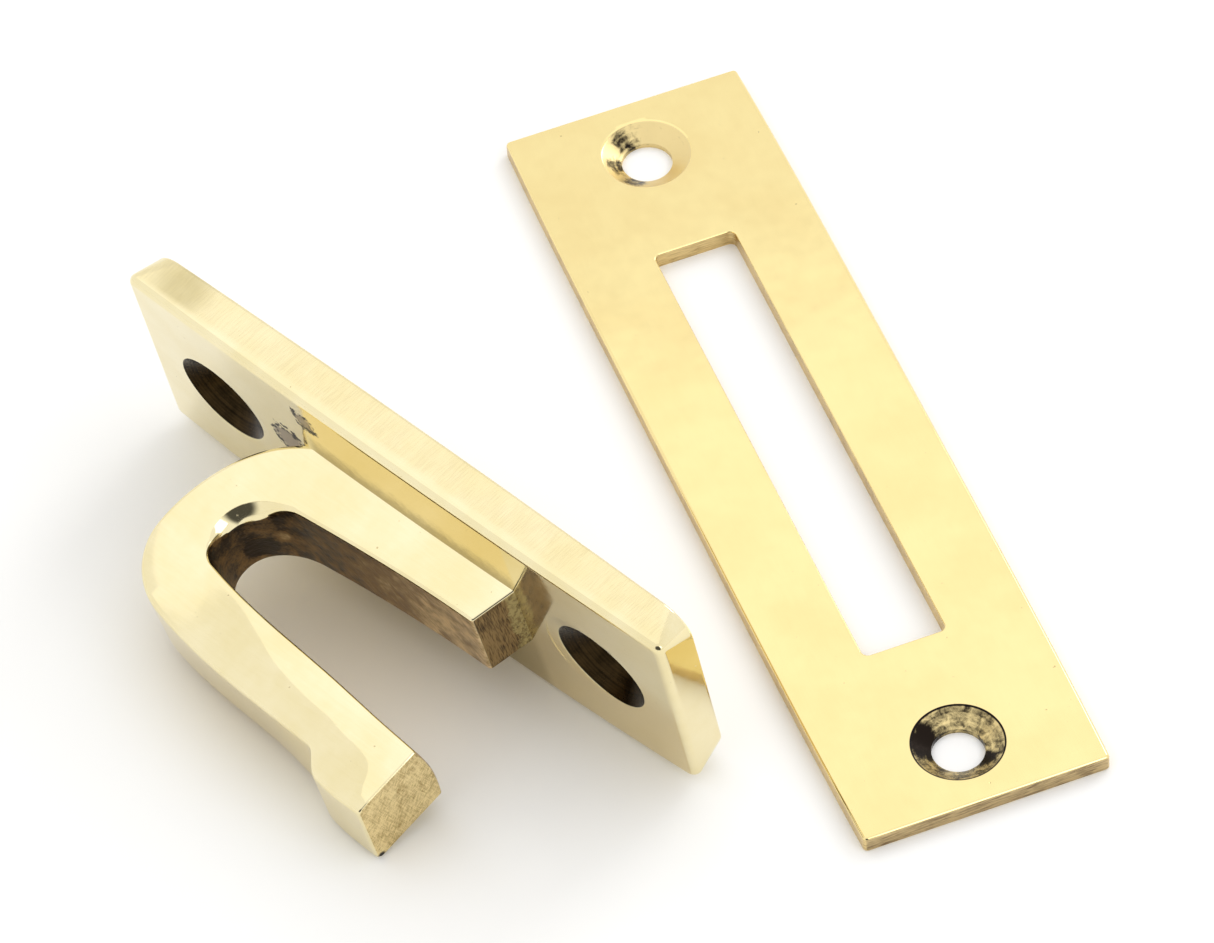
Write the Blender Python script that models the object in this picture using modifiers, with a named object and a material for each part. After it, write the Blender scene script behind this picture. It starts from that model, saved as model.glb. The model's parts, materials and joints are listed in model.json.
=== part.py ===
"""The two keeps of a casement window fastener, in polished brass.

hook_plate is one casting: a thick screw plate with a J-shaped hook on its face, which the tongue of the
fastener turns in behind. mortice_plate is a thin flat plate with a long slot, let into the frame over a
mortice. Metres, +Z up, standing on Z = 0, with the origin under the middle of the pair.
"""

import math

import bmesh
import bpy
from mathutils import Matrix, Vector

MM = 0.001

# Both plates are cut from stock of one width, for countersunk No. 8 wood screws.
STOCK_WIDTH = 22.0 * MM
SCREW_HOLE_RADIUS = 2.2 * MM

# Mortice plate: length along Y, lying flat.
MORTICE_LENGTH = 82.5 * MM
MORTICE_THICKNESS = 1.6 * MM
MORTICE_SIDE_BOW = 0.3 * MM
SLOT_LENGTH = 47.6 * MM
SLOT_WIDTH = 7.3 * MM
SLOT_CORNER_RADIUS = 0.6 * MM
MORTICE_SCREW_SPACING = 70.0 * MM
MORTICE_SINK_RADIUS = 3.9 * MM
MORTICE_SINK_DEPTH = 1.1 * MM

# Hook plate, in its own frame: X along it, Y across it, Z out of its face, Z = 0 on its flat back.
HOOK_PLATE_LENGTH = 60.2 * MM
HOOK_PLATE_END_THICKNESS = 3.66 * MM
HOOK_PLATE_CROWN = 0.6 * MM
HOOK_PLATE_SIDE_BOW = 0.8 * MM
HOOK_PLATE_CORNER_RADIUS = 1.6 * MM
HOOK_PLATE_SKEW = 0.06
HOOK_SCREW_SPACING = 43.25 * MM
HOOK_SCREWS_SHIFT = 0.27 * MM
HOOK_SINK_RADIUS = 4.65 * MM
HOOK_SINK_DEPTH = HOOK_SINK_RADIUS - SCREW_HOLE_RADIUS

# Hook: a bar of one height, bent to a J. Its bend is at the -X end and its tip points to +X. The root
# bar lies on the plate and grows towards the bend by the flare. The outer bar is nearer the plate at the
# bend than at the nose by the splay, and thinner at its tip. Both free ends are cut at a slight rake.
HOOK_HEIGHT = 7.9 * MM
HOOK_DROOP = math.radians(9.5)
HOOK_BEND_X = -16.5 * MM
HOOK_ROOT_END_X = 13.7 * MM
HOOK_TIP_X = 15.1 * MM
HOOK_REACH = 25.65 * MM
HOOK_ROOT_BAR = 4.5 * MM
HOOK_ROOT_FLARE = 1.0 * MM
HOOK_ROOT_DEPTH = 0.8 * MM
HOOK_ROOT_RAKE = 1.6 * MM
HOOK_BEND_BAR = 4.25 * MM
HOOK_OUTER_BAR = 5.8 * MM
HOOK_TIP_THINNING = 1.2 * MM
HOOK_SPLAY = 1.5 * MM
HOOK_TIP_RAKE = 0.4 * MM
HOOK_NOSE_LENGTH = 5.5 * MM
HOOK_NOSE_STEP = 2.0 * MM
HOOK_NOSE_RAMP = 2.1 * MM
HOOK_NOSE_RADIUS = 1.0 * MM
HOOK_CORNER_RADIUS = 0.4 * MM
HOOK_SHOULDER_RADIUS = 12.0 * MM
HOOK_ELBOW_RADIUS = 5.4 * MM
HOOK_LEAN = 1.0 * MM
GAP_ROOT_RADIUS = 4.9 * MM
GAP_OUTER_RADIUS = 2.2 * MM
GAP_NEAR_Z = HOOK_PLATE_END_THICKNESS + HOOK_ROOT_BAR + HOOK_ROOT_FLARE
GAP_FAR_Z = HOOK_REACH - HOOK_NOSE_STEP - HOOK_OUTER_BAR - HOOK_SPLAY

# Where the two stand: the mortice plate's middle, and the middle of the hook plate's back.
MORTICE_PLATE_AT = Vector((23.18, 0.0)) * MM
HOOK_PLATE_AT = Vector((-8.82, -2.62)) * MM
HOOK_PLATE_YAW = math.radians(-64.45)

RECTANGLE_CORNERS = ((-1, -1), (1, -1), (1, 1), (-1, 1))
EDGE_BREAK = 0.35 * MM
BREAK_ANGLE = math.radians(40)
SHARP_ANGLE = math.radians(20)
CUT_MARGIN = 1.0 * MM
MERGE = 0.00001
FLAT = math.radians(0.05)
ARC_STEP = math.radians(11.25)
TURNED_STEPS = 40
SIDE_STEPS = 16

BRASS_COLOUR = (0.86, 0.71, 0.40, 1.0)
BRASS_ROUGHNESS = 0.18


def clear_scene():
    for old in list(bpy.data.objects):
        bpy.data.objects.remove(old, do_unlink=True)


def new_collection(name):
    collection = bpy.data.collections.new(name)
    bpy.context.scene.collection.children.link(collection)
    return collection


def brass(name):
    material = bpy.data.materials.new(name)
    material.use_nodes = True
    shader = material.node_tree.nodes["Principled BSDF"]
    shader.inputs["Base Color"].default_value = BRASS_COLOUR
    shader.inputs["Metallic"].default_value = 1.0
    shader.inputs["Roughness"].default_value = BRASS_ROUGHNESS
    return material


def rounded(corners):
    """Outline with each (x, y, radius) corner turned into a tangent arc."""
    points = []
    count = len(corners)
    for i, (x, y, radius) in enumerate(corners):
        here = Vector((x, y))
        to_last = (Vector(corners[i - 1][:2]) - here).normalized()
        to_next = (Vector(corners[(i + 1) % count][:2]) - here).normalized()
        if radius == 0.0:
            points.append(here)
            continue
        half_angle = to_last.angle(to_next) / 2
        centre = here + (to_last + to_next).normalized() * (radius / math.sin(half_angle))
        start = here + to_last * (radius / math.tan(half_angle)) - centre
        end = here + to_next * (radius / math.tan(half_angle)) - centre
        turn = start.angle_signed(end)
        steps = max(2, round(abs(turn) / ARC_STEP))
        for step in range(steps + 1):
            points.append(centre + Matrix.Rotation(-turn * step / steps, 2) @ start)
    return points


def bowed_plate_outline(length, width, corner_radius, bow, power):
    """Rectangle with its length along X, whose long sides swell by the bow at mid-length."""
    half_length = length / 2
    half_width = width / 2
    corners = rounded([(x * half_length, y * half_width, corner_radius) for x, y in RECTANGLE_CORNERS])
    outline = []
    for start, end in zip(corners, corners[1:] + corners[:1]):
        is_long_side = (end - start).length > width * 1.5
        cuts = SIDE_STEPS if is_long_side else 1
        for cut in range(cuts):
            point = start.lerp(end, cut / cuts)
            swell = bow * (1 - abs(point.x / half_length) ** power)
            outline.append(Vector((point.x, point.y + swell * point.y / half_width)))
    return outline


def prism(name, outline, depth, collection):
    """Closed solid of an outline in XY, centred on Z = 0, drawn as a filled 2D curve."""
    curve = bpy.data.curves.new(name, "CURVE")
    curve.dimensions = "2D"
    curve.fill_mode = "BOTH"
    curve.extrude = depth / 2
    spline = curve.splines.new("POLY")
    spline.points.add(len(outline) - 1)
    spline.use_cyclic_u = True
    for point, place in zip(spline.points, outline):
        point.co = (place[0], place[1], 0.0, 1.0)
    drawn = bpy.data.objects.new(name + "_outline", curve)
    collection.objects.link(drawn)
    evaluated = drawn.evaluated_get(bpy.context.evaluated_depsgraph_get())
    mesh = bpy.data.meshes.new_from_object(evaluated)
    bpy.data.objects.remove(drawn, do_unlink=True)
    work = bmesh.new()
    work.from_mesh(mesh)
    bmesh.ops.remove_doubles(work, verts=work.verts, dist=MERGE)
    bmesh.ops.dissolve_limit(work, angle_limit=FLAT, verts=[], edges=work.edges)
    bmesh.ops.recalc_face_normals(work, faces=work.faces)
    work.to_mesh(mesh)
    work.free()
    solid = bpy.data.objects.new(name, mesh)
    collection.objects.link(solid)
    return solid


def screw_hole_cutter(name, sink_radius, sink_depth, face_z, collection):
    """Countersunk screw hole: a cone from the face down to the screw's own hole."""
    radius = SCREW_HOLE_RADIUS
    top = face_z + CUT_MARGIN
    throat = face_z - sink_depth
    mouth = sink_radius + CUT_MARGIN * (sink_radius - radius) / sink_depth
    profile = [(0.0, top), (mouth, top), (radius, throat), (radius, -CUT_MARGIN), (0.0, -CUT_MARGIN)]
    mesh = bpy.data.meshes.new(name)
    edges = [(i, i + 1) for i in range(len(profile) - 1)]
    mesh.from_pydata([(x, 0.0, z) for x, z in profile], edges, [])
    cutter = bpy.data.objects.new(name, mesh)
    collection.objects.link(cutter)
    turn = cutter.modifiers.new("Turn", "SCREW")
    turn.steps = TURNED_STEPS
    turn.render_steps = TURNED_STEPS
    turn.use_merge_vertices = True
    turn.merge_threshold = MERGE
    return cutter


def as_tool(tool):
    tool.hide_render = True
    tool.display_type = "WIRE"


def boolean(target, tool, operation):
    as_tool(tool)
    cut = target.modifiers.new(tool.name, "BOOLEAN")
    cut.operation = operation
    cut.solver = "EXACT"
    cut.object = tool


def break_edges(target, width):
    bevel = target.modifiers.new("Broken edges", "BEVEL")
    bevel.width = width
    bevel.segments = 2
    bevel.limit_method = "ANGLE"
    bevel.angle_limit = BREAK_ANGLE


def make_mortice_plate(parts, cutters):
    """Flat plate whose long sides draw in a little towards its ends, as polishing leaves them."""
    end_width = STOCK_WIDTH - 2 * MORTICE_SIDE_BOW
    outline = bowed_plate_outline(MORTICE_LENGTH, end_width, 0.0, MORTICE_SIDE_BOW, 4)
    plate = prism("mortice_plate", outline, MORTICE_THICKNESS, parts)
    plate.data.transform(Matrix.Translation((0, 0, MORTICE_THICKNESS / 2)))
    break_edges(plate, EDGE_BREAK)
    half_length = SLOT_LENGTH / 2
    half_width = SLOT_WIDTH / 2
    corners = [(x * half_length, y * half_width, SLOT_CORNER_RADIUS) for x, y in RECTANGLE_CORNERS]
    slot = prism("slot_cutter", rounded(corners), MORTICE_THICKNESS * 4, cutters)
    slot.parent = plate
    boolean(plate, slot, "DIFFERENCE")
    for end in (-1, 1):
        name = "mortice_screw_cutter_" + ("near" if end < 0 else "far")
        cutter = screw_hole_cutter(
            name, MORTICE_SINK_RADIUS, MORTICE_SINK_DEPTH, MORTICE_THICKNESS, cutters
        )
        cutter.location.x = end * MORTICE_SCREW_SPACING / 2
        cutter.parent = plate
        boolean(plate, cutter, "DIFFERENCE")
    plate.location = (*MORTICE_PLATE_AT, 0.0)
    plate.rotation_euler.z = math.pi / 2
    return plate


def hook_plate_face(x):
    """Height of the crowned face above the flat back, at x along the plate."""
    along = 2 * x / HOOK_PLATE_LENGTH
    return HOOK_PLATE_END_THICKNESS + HOOK_PLATE_CROWN * (1 - along * along)


def crown_tool(cutters):
    """Slab with a flat back and a crowned top, which the plate's outline is trimmed to."""
    half_length = HOOK_PLATE_LENGTH / 2 + CUT_MARGIN
    side = [Vector((-half_length, 0.0)), Vector((half_length, 0.0))]
    for step in range(SIDE_STEPS + 1):
        x = half_length * (1 - 2 * step / SIDE_STEPS)
        side.append(Vector((x, hook_plate_face(x))))
    slab = prism("crown_tool", side, STOCK_WIDTH * 2, cutters)
    slab.data.transform(Matrix.Rotation(math.pi / 2, 4, "X"))
    return slab


def hook_outline():
    """The J in plan, X along the plate and Y out of its face: round the gap, then round the outside."""
    face = HOOK_PLATE_END_THICKNESS
    root = face - HOOK_ROOT_DEPTH
    inside_x = HOOK_BEND_X + HOOK_BEND_BAR
    outer_face = HOOK_REACH - HOOK_NOSE_STEP
    nose_x = HOOK_TIP_X - HOOK_NOSE_LENGTH
    corners = [
        (HOOK_ROOT_END_X, root, 0.0),
        (HOOK_ROOT_END_X - HOOK_ROOT_RAKE, face + HOOK_ROOT_BAR, HOOK_CORNER_RADIUS),
        (inside_x, GAP_NEAR_Z, GAP_ROOT_RADIUS),
        (inside_x, GAP_FAR_Z, GAP_OUTER_RADIUS),
        (HOOK_TIP_X + HOOK_TIP_RAKE, outer_face - HOOK_OUTER_BAR + HOOK_TIP_THINNING, HOOK_CORNER_RADIUS),
        (HOOK_TIP_X, HOOK_REACH, HOOK_CORNER_RADIUS),
        (nose_x, HOOK_REACH, HOOK_NOSE_RADIUS),
        (nose_x - HOOK_NOSE_RAMP, outer_face, HOOK_NOSE_RADIUS),
        (HOOK_BEND_X, outer_face - HOOK_SPLAY, HOOK_ELBOW_RADIUS),
        (HOOK_BEND_X, root, HOOK_SHOULDER_RADIUS),
    ]
    return rounded(corners)


def make_hook(cutters):
    """The J as a bar of one height, sloping down to its tip, its outer bar leaning in below."""
    hook = prism("hook_body", hook_outline(), HOOK_HEIGHT, cutters)
    hook.data.transform(Matrix.Rotation(math.pi / 2, 4, "X"))
    for vertex in hook.data.vertices:
        is_nose = vertex.co.z > HOOK_REACH - HOOK_NOSE_STEP
        if vertex.co.y < 0 and not is_nose:
            across_gap = (vertex.co.z - GAP_NEAR_Z) / (GAP_FAR_Z - GAP_NEAR_Z)
            vertex.co.z -= HOOK_LEAN * min(max(across_gap, 0.0), 1.0)
        vertex.co.y -= math.tan(HOOK_DROOP) * (vertex.co.z - HOOK_PLATE_END_THICKNESS)
    break_edges(hook, EDGE_BREAK)
    return hook


def resting_tilt_and_height():
    """How far the hook plate leans when it stands on a long edge and on the underside of its hook's tip."""
    heel = Vector((-STOCK_WIDTH / 2 - HOOK_PLATE_SIDE_BOW, hook_plate_face(0.0)))
    droop = math.tan(HOOK_DROOP) * (HOOK_REACH - HOOK_PLATE_END_THICKNESS)
    toe = Vector((-HOOK_HEIGHT / 2 - droop, HOOK_REACH))
    tilt = math.atan2(toe.x - heel.x, toe.y - heel.y)
    height = heel.y * math.sin(tilt) - heel.x * math.cos(tilt)
    return tilt, height


def make_hook_plate(parts, cutters):
    tilt, height = resting_tilt_and_height()
    stand = bpy.data.objects.new("hook_plate_stand", None)
    parts.objects.link(stand)
    stand.location = (*HOOK_PLATE_AT, height)
    stand.rotation_euler = (math.pi / 2 + tilt, 0.0, HOOK_PLATE_YAW)

    square = bowed_plate_outline(
        HOOK_PLATE_LENGTH, STOCK_WIDTH, HOOK_PLATE_CORNER_RADIUS, HOOK_PLATE_SIDE_BOW, 2
    )
    outline = [Vector((point.x + HOOK_PLATE_SKEW * point.y, point.y)) for point in square]
    plate = prism("hook_plate", outline, STOCK_WIDTH, parts)
    boolean(plate, crown_tool(cutters), "INTERSECT")
    break_edges(plate, EDGE_BREAK)
    boolean(plate, make_hook(cutters), "UNION")
    for end in (-1, 1):
        name = "hook_screw_cutter_" + ("bend_end" if end < 0 else "tip_end")
        place = end * HOOK_SCREW_SPACING / 2 + HOOK_SCREWS_SHIFT
        cutter = screw_hole_cutter(name, HOOK_SINK_RADIUS, HOOK_SINK_DEPTH, hook_plate_face(place), cutters)
        cutter.location.x = place
        boolean(plate, cutter, "DIFFERENCE")
    for piece in [plate] + [cut.object for cut in plate.modifiers if cut.type == "BOOLEAN"]:
        piece.parent = stand
    return plate


def main():
    clear_scene()
    parts = new_collection("window_sash_lock_keeps")
    cutters = new_collection("cutters")
    for part in (make_mortice_plate(parts, cutters), make_hook_plate(parts, cutters)):
        part.data.materials.append(brass(part.name + "_brass"))
        part.data.shade_smooth()
        part.data.set_sharp_from_angle(angle=SHARP_ANGLE)


main()
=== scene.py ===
"""Studio scene of the two keeps of a casement window fastener, in polished brass.

The hook plate stands on a long edge and on the tip of its hook, and the mortice plate lies beside it on
a white floor. Both are remade here with rounded edges, polished faces and tool marks, in the frame's own
places.
"""

import json
import math

import bmesh
import bpy
from mathutils import Matrix, Vector
from mathutils.geometry import interpolate_bezier


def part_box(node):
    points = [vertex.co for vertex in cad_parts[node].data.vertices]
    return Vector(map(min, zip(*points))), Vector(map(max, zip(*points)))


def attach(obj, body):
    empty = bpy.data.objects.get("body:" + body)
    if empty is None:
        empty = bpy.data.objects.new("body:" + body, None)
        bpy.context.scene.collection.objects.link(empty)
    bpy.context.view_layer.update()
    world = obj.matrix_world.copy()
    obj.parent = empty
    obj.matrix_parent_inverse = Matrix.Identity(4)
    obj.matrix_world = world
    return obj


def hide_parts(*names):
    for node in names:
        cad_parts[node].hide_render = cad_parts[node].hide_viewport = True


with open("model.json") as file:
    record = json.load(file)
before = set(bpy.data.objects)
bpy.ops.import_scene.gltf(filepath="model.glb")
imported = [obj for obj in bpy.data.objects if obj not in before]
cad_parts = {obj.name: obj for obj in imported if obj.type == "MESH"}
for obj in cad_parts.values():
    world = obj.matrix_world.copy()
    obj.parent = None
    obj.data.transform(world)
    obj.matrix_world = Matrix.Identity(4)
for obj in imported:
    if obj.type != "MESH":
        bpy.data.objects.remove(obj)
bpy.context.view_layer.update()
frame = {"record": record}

MM = 0.001

# Hook plate, in its own frame: X along it, Y across it, Z out of its face, Z = 0 on its flat back.
PLATE_LENGTH = 60.2 * MM
PLATE_WIDTH = 22.0 * MM
PLATE_END_THICKNESS = 3.66 * MM
PLATE_CROWN = 0.6 * MM
PLATE_SIDE_BOW = 0.78 * MM
PLATE_FACE_CORNER_RADIUS = 0.9 * MM
PLATE_BACK_CORNER_RADIUS = 2.8 * MM
PLATE_SKEW = 0.06
PLATE_FACE_ROUNDING = 0.7 * MM
PLATE_BACK_ROUNDING = 0.3 * MM
PLATE_SCREW_SPACING = 43.25 * MM
PLATE_SCREWS_SHIFT = 0.27 * MM

# Hook: two lines in plan, round its gap and round its outside. Each knot is x, z in millimetres and a
# heading in degrees. A place along the hook is counted in knots: 0 at the root's end, 2 in the bend, 6 at
# the tip. STATIONS are the steps from each knot to the next.
HOOK_HEIGHT = 7.9 * MM
HOOK_DROOP = math.radians(9.5)
GAP_LINE = (
    (12.15, 8.1, 180),
    (-6.0, 9.05, 175),
    (-11.75, 13.3, 90),
    (-9.9, 16.45, 12),
    (7.2, 18.25, 6),
    (9.7, 18.5, 6),
    (15.7, 19.0, 5),
)
OUTSIDE_LINE = (
    (13.9, 2.7, 180),
    (-5.2, 2.7, 180),
    (-16.45, 16.2, 90),
    (-11.3, 22.05, 12),
    (7.2, 23.5, 2),
    (9.7, 25.3, 10),
    (15.15, 25.65, 1),
)
STATIONS = (24, 30, 20, 30, 14, 12)

# What changes along the hook, as (place, millimetres): how far each bottom line sits in from the line
# above it, how much lower the bottom is in the bend, how far the gap's wall and its rim swell, and the
# rounding of each edge. In the bend the rim is worn to a facet instead, where GAP_RIM_WEAR is 1.
GAP_LEAN = ((2.0, 0.0), (3.0, 0.9), (4.0, 1.0), (6.0, 0.8))
OUTSIDE_LEAN = ((2.0, 0.0), (3.0, 0.25), (3.65, 0.5), (4.1, -0.3), (5.0, 0.0))
BEND_DROP = ((0.7, 0.0), (1.5, 0.5), (2.3, 0.4), (3.0, 0.0))
GAP_SWELL = ((5.0, 0.0), (6.0, 0.35))
GAP_RIM = ((0.7, 0.35), (1.2, 0.45), (1.6, 1.25), (2.1, 1.15), (2.6, 0.4), (3.0, 0.3), (6.0, 0.25))
GAP_RIM_SWELL = ((1.1, 0.0), (1.6, 1.0), (2.1, 0.9), (2.6, 0.1), (3.0, 0.0))
GAP_RIM_WEAR = ((1.1, 0.0), (1.5, 1.0), (2.15, 1.0), (2.5, 0.0))
OUTSIDE_RIM = ((0.0, 0.5), (6.0, 0.5))
OUTSIDE_FOOT = ((0.0, 0.7), (6.0, 0.6))
GAP_FOOT = ((0.0, 0.3), (6.0, 0.3))
END_ROUNDING = 0.25 * MM
LEAST_ROUNDING = 0.05 * MM
CREASE_HALF_WIDTH = 0.2 * MM

# Steps of the hook's section: round each corner, across each half of its top, down its outside, across its
# bottom, up the gap's wall, and inwards from each end face.
CORNER_STEPS = 7
TOP_STEPS = 4
SIDE_STEPS = 6
GAP_WALL_STEPS = 9
END_STEPS = 5

# The hook's top has an outer facet from the bend to the tip: where it starts, as a share of the top, and
# its slope in degrees.
FACET_LINE = ((3.2, 0.04), (3.42, 0.2), (3.65, 0.42), (3.96, 0.52), (5.0, 0.42), (5.6, 0.5), (5.85, 0.88))
FACET_SLOPE = ((2.9, 0.0), (3.5, 4.5), (6.0, 5.0))

# Mortice plate.
MORTICE_SIDE_BOW = 0.3 * MM
MORTICE_CORNER_RADIUS = 0.4 * MM
MORTICE_FACE_ROUNDING = 0.32 * MM
MORTICE_BACK_ROUNDING = 0.15 * MM
MORTICE_SCREW_SPACING = 70.0 * MM
SLOT_LENGTH = 47.6 * MM
SLOT_WIDTH = 7.3 * MM
SLOT_CORNER_RADIUS = 0.6 * MM
SLOT_RIM_ROUNDING = 0.14 * MM
SLOT_RIM_TURN = 84.0
SLOT_RIM_STEPS = 5
SLOT_CORNER_STEPS = 8

# Countersunk screw holes. Their rims are rounded, and the mortice plate's far rim most of all.
SCREW_HOLE_RADIUS = 2.2 * MM
MORTICE_SINK_RADIUS = 3.9 * MM
MORTICE_SINK_DEPTH = 1.1 * MM
MORTICE_NEAR_RIM_ROUNDING = 0.08 * MM
MORTICE_FAR_RIM_ROUNDING = 0.5 * MM
PLATE_SINK_RADIUS = 4.65 * MM
PLATE_SINK_DEPTH = PLATE_SINK_RADIUS - SCREW_HOLE_RADIUS
PLATE_RIM_ROUNDING = 0.35 * MM
RIM_FIRST_SLOPE = math.radians(6)
RIM_STEPS = 6
CUT_MARGIN = 1.0 * MM
TURNED_STEPS = 96
MERGE = 0.00001
SHARP_ANGLE = math.radians(32)

# Camera: a long lens, as seen from the front left, above.
IMAGE_WIDTH = 1214
FOCAL_PIXELS = 8000
CAMERA_AZIMUTH = math.radians(16.92)
CAMERA_ELEVATION = math.radians(49.87)
CAMERA_ROLL = math.radians(5.17)
CAMERA_DISTANCE = 667.85 * MM
CAMERA_TARGET = Vector((7.72, 4.30, 0.0)) * MM
SENSOR_WIDTH = 36.0
CLIP_START = 0.05
CLIP_END = 20.0

# Colours of the brass, each finish from its deeper to its paler tone.
HOOK_BRASS = ((0.81, 0.7, 0.39), (0.88, 0.79, 0.52))
FILED_BRASS = ((0.6, 0.47, 0.22), (0.81, 0.68, 0.36))
MORTICE_BRASS = ((0.86, 0.69, 0.32), (0.91, 0.76, 0.37))
MILLED_BRASS = ((0.55, 0.40, 0.18), (0.82, 0.64, 0.31))
# The darkest CAST_AND_SHADED_BRASS tone is partly painted shade, for the gap between the legs.
CAST_AND_SHADED_BRASS = ((0.025, 0.013, 0.005), (0.27, 0.165, 0.065), (0.80, 0.62, 0.36))
# ROOT_BRASS is partly painted shade: the root's end is darkened for the shaded floor it mirrors.
ROOT_BRASS = ((0.06, 0.035, 0.012), (0.32, 0.21, 0.085))
STUB_BRASS = ((0.24, 0.18, 0.07), (0.46, 0.37, 0.16))
TIP_BRASS = ((0.40, 0.28, 0.10), (0.86, 0.70, 0.36))
# BORE_PAINTED_SHADE is painted shade: near-black brass for the shade down the screw holes.
BORE_PAINTED_SHADE = ((0.006, 0.004, 0.002), (0.055, 0.034, 0.013))
WALL_BRASS = ((0.52, 0.38, 0.17), (0.80, 0.62, 0.30))
END_WALL_BRASS = ((0.22, 0.15, 0.08), (0.60, 0.46, 0.24))
SINK_BRASS = ((0.018, 0.013, 0.010), (0.80, 0.64, 0.31))
SCRATCH = (0.45, 0.33, 0.15)
# OLIVE is a real stain on the plate's side, and painted shade with some soot in the band beside the hook.
OLIVE = (0.30, 0.24, 0.09)
# GOLD is a painted reflection: the leg's top as mirrored in the face beside the hook.
GOLD = (0.92, 0.72, 0.27)
# Painted shade: a darker gold laid low on the face at the tip's end.
PAINTED_SHADE_GOLD = (0.66, 0.50, 0.21)
SOOT = (0.012, 0.010, 0.010)
RESIDUE = (0.17, 0.125, 0.135)

# Marks, as ((x, y, z), size), in millimetres in the piece's own frame.
SIDE_STAIN = ((-24.5, 11.3, 1.8), 1.0)
FACE_RESIDUE = (((-12.2, 2.2, 4.1), 1.8), ((-8.9, 8.4, 4.2), 0.9))
GAP_DARK_SPOT = ((-10.8, -3.3, 11.2), 0.9)
GAP_CLEAR_SPOT = ((-8.9, -1.7, 10.0), 0.2)
TIP_SOOT = (((15.2, 1.9, 25.2), 0.25), ((15.2, -7.2, 25.2), 0.2), ((9.2, 1.5, 25.1), 0.15))
FAR_SINK_SOOT = (((37.6, 1.0, 1.0), 1.5), ((35.3, 2.6, 0.8), 1.2), ((32.9, 1.9, 0.9), 1.3))
NEAR_SINK_SOOT = (((-33.4, 2.4, 1.0), 1.9), ((-36.8, -1.6, 1.0), 0.9))

# Light: a white studio, dark low behind the camera, where the angle to ROOM_DIRECTION has its cosine
# between ROOM_EDGE's two. Each softbox is its direction, its width and height, and its brightness.
STUDIO_LIGHT = 1.07
ROOM_LIGHT = 0.08
ROOM_DIRECTION = (-0.40, -0.86, 0.32)
ROOM_EDGE = (0.82, 0.93)
SOFTBOX_DISTANCE = 0.9
SOFTBOXES = {
    "overhead_softbox": ((0.0, 0.28, 0.96), 0.95, 0.8, 0.18),
    "front_softbox": ((0.36, -0.74, 0.56), 0.4, 0.4, 1.6),
    "key_softbox": ((0.75, 0.4, 0.55), 0.35, 0.35, 3.0),
}
FLOOR_HALF_SIZE = 3.0
FLOOR_ROUGHNESS = 0.9
FLOOR_WHITE = (0.97, 0.967, 0.957)
# Painted bounce light: a warm tint laid on the floor in a circle between the hook's legs.
FLOOR_PAINTED_BOUNCE = (0.95, 0.87, 0.72)
PAINTED_BOUNCE_CENTRE = Vector((-18.0, -4.0, 0.0)) * MM
PAINTED_BOUNCE_RADIUS = 24.0 * MM


def mesh_object(name, mesh):
    thing = bpy.data.objects.new(name, mesh)
    bpy.context.scene.collection.objects.link(thing)
    return thing


def solid_from_rings(name, rings, fill_caps):
    """Closed solid through rings of equally many points. fill_caps closes its first and its last ring."""
    work = bmesh.new()
    rows = [[work.verts.new(point) for point in ring] for ring in rings]
    count = len(rows[0])
    for row, after in zip(rows, rows[1:]):
        for i in range(count):
            j = (i + 1) % count
            work.faces.new((row[i], row[j], after[j], after[i]))
    for row in (rows[0], rows[-1]):
        fill_caps(work, row)
    bmesh.ops.recalc_face_normals(work, faces=work.faces)
    mesh = bpy.data.meshes.new(name)
    work.to_mesh(mesh)
    work.free()
    return mesh_object(name, mesh)


def flat_cap(work, row):
    work.faces.new(row)


def slab_ring(stations, across, length, half_width, corner_radius, skew, inset, height):
    """Outline of a round-cornered plate drawn in by an inset: long side, end, long side, end."""
    centre = length / 2 - corner_radius
    radius = corner_radius - inset
    side = []
    for share, turn in stations:
        x = share * centre + math.copysign(radius * math.sin(turn), share)
        y = half_width(x) - corner_radius + radius * math.cos(turn)
        side.append((x, y))
    upper = [Vector((x + skew * y, y, height(x))) for x, y in side]
    lower = [Vector((x - skew * y, -y, height(x))) for x, y in side]
    right = [upper[-1].lerp(lower[-1], j / across) for j in range(1, across)]
    left = [lower[0].lerp(upper[0], j / across) for j in range(1, across)]
    return upper + right + lower[::-1] + left


def rounded_slab(name, length, half_width, corner_radii, skew, face_height, face_rounding, back_rounding):
    """Plate lying on Z = 0, its edges rounded on face and back.

    corner_radii gives the back's, then the face's.
    """
    across, corner_steps, side_steps, edge_steps = 14, 8, 48, 6
    turns = [math.pi / 2 * (1 - step / corner_steps) for step in range(corner_steps + 1)]
    stations = [(-1, turn) for turn in turns]
    stations += [(2 * step / side_steps - 1, 0) for step in range(1, side_steps)]
    stations += [(1, turn) for turn in reversed(turns)]
    last = len(stations) - 1
    quarter = [math.pi / 2 * step / edge_steps for step in range(edge_steps + 1)]
    levels = [(0, back_rounding * (1 - math.sin(a)), back_rounding * (1 - math.cos(a))) for a in quarter]
    levels += [(1, face_rounding * (1 - math.cos(a)), face_rounding * (math.sin(a) - 1)) for a in quarter]

    def fill_rows(work, ring):
        rows = []
        for k in range(last + 1):
            upper = ring[k]
            lower = ring[2 * last + across - k]
            if k == 0:
                middle = ring[2 * last + across + 1:][::-1]
            elif k == last:
                middle = ring[last + 1:last + across]
            else:
                middle = [work.verts.new(upper.co.lerp(lower.co, j / across)) for j in range(1, across)]
            rows.append([upper, *middle, lower])
        for row, after in zip(rows, rows[1:]):
            for j in range(across):
                work.faces.new((row[j], row[j + 1], after[j + 1], after[j]))

    rings = []
    for on_face, inset, rise in levels:
        def height(x):
            return on_face * face_height(x) + rise
        radius = corner_radii[on_face]
        rings.append(slab_ring(stations, across, length, half_width, radius, skew, inset, height))
    return solid_from_rings(name, rings, fill_rows)


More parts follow.
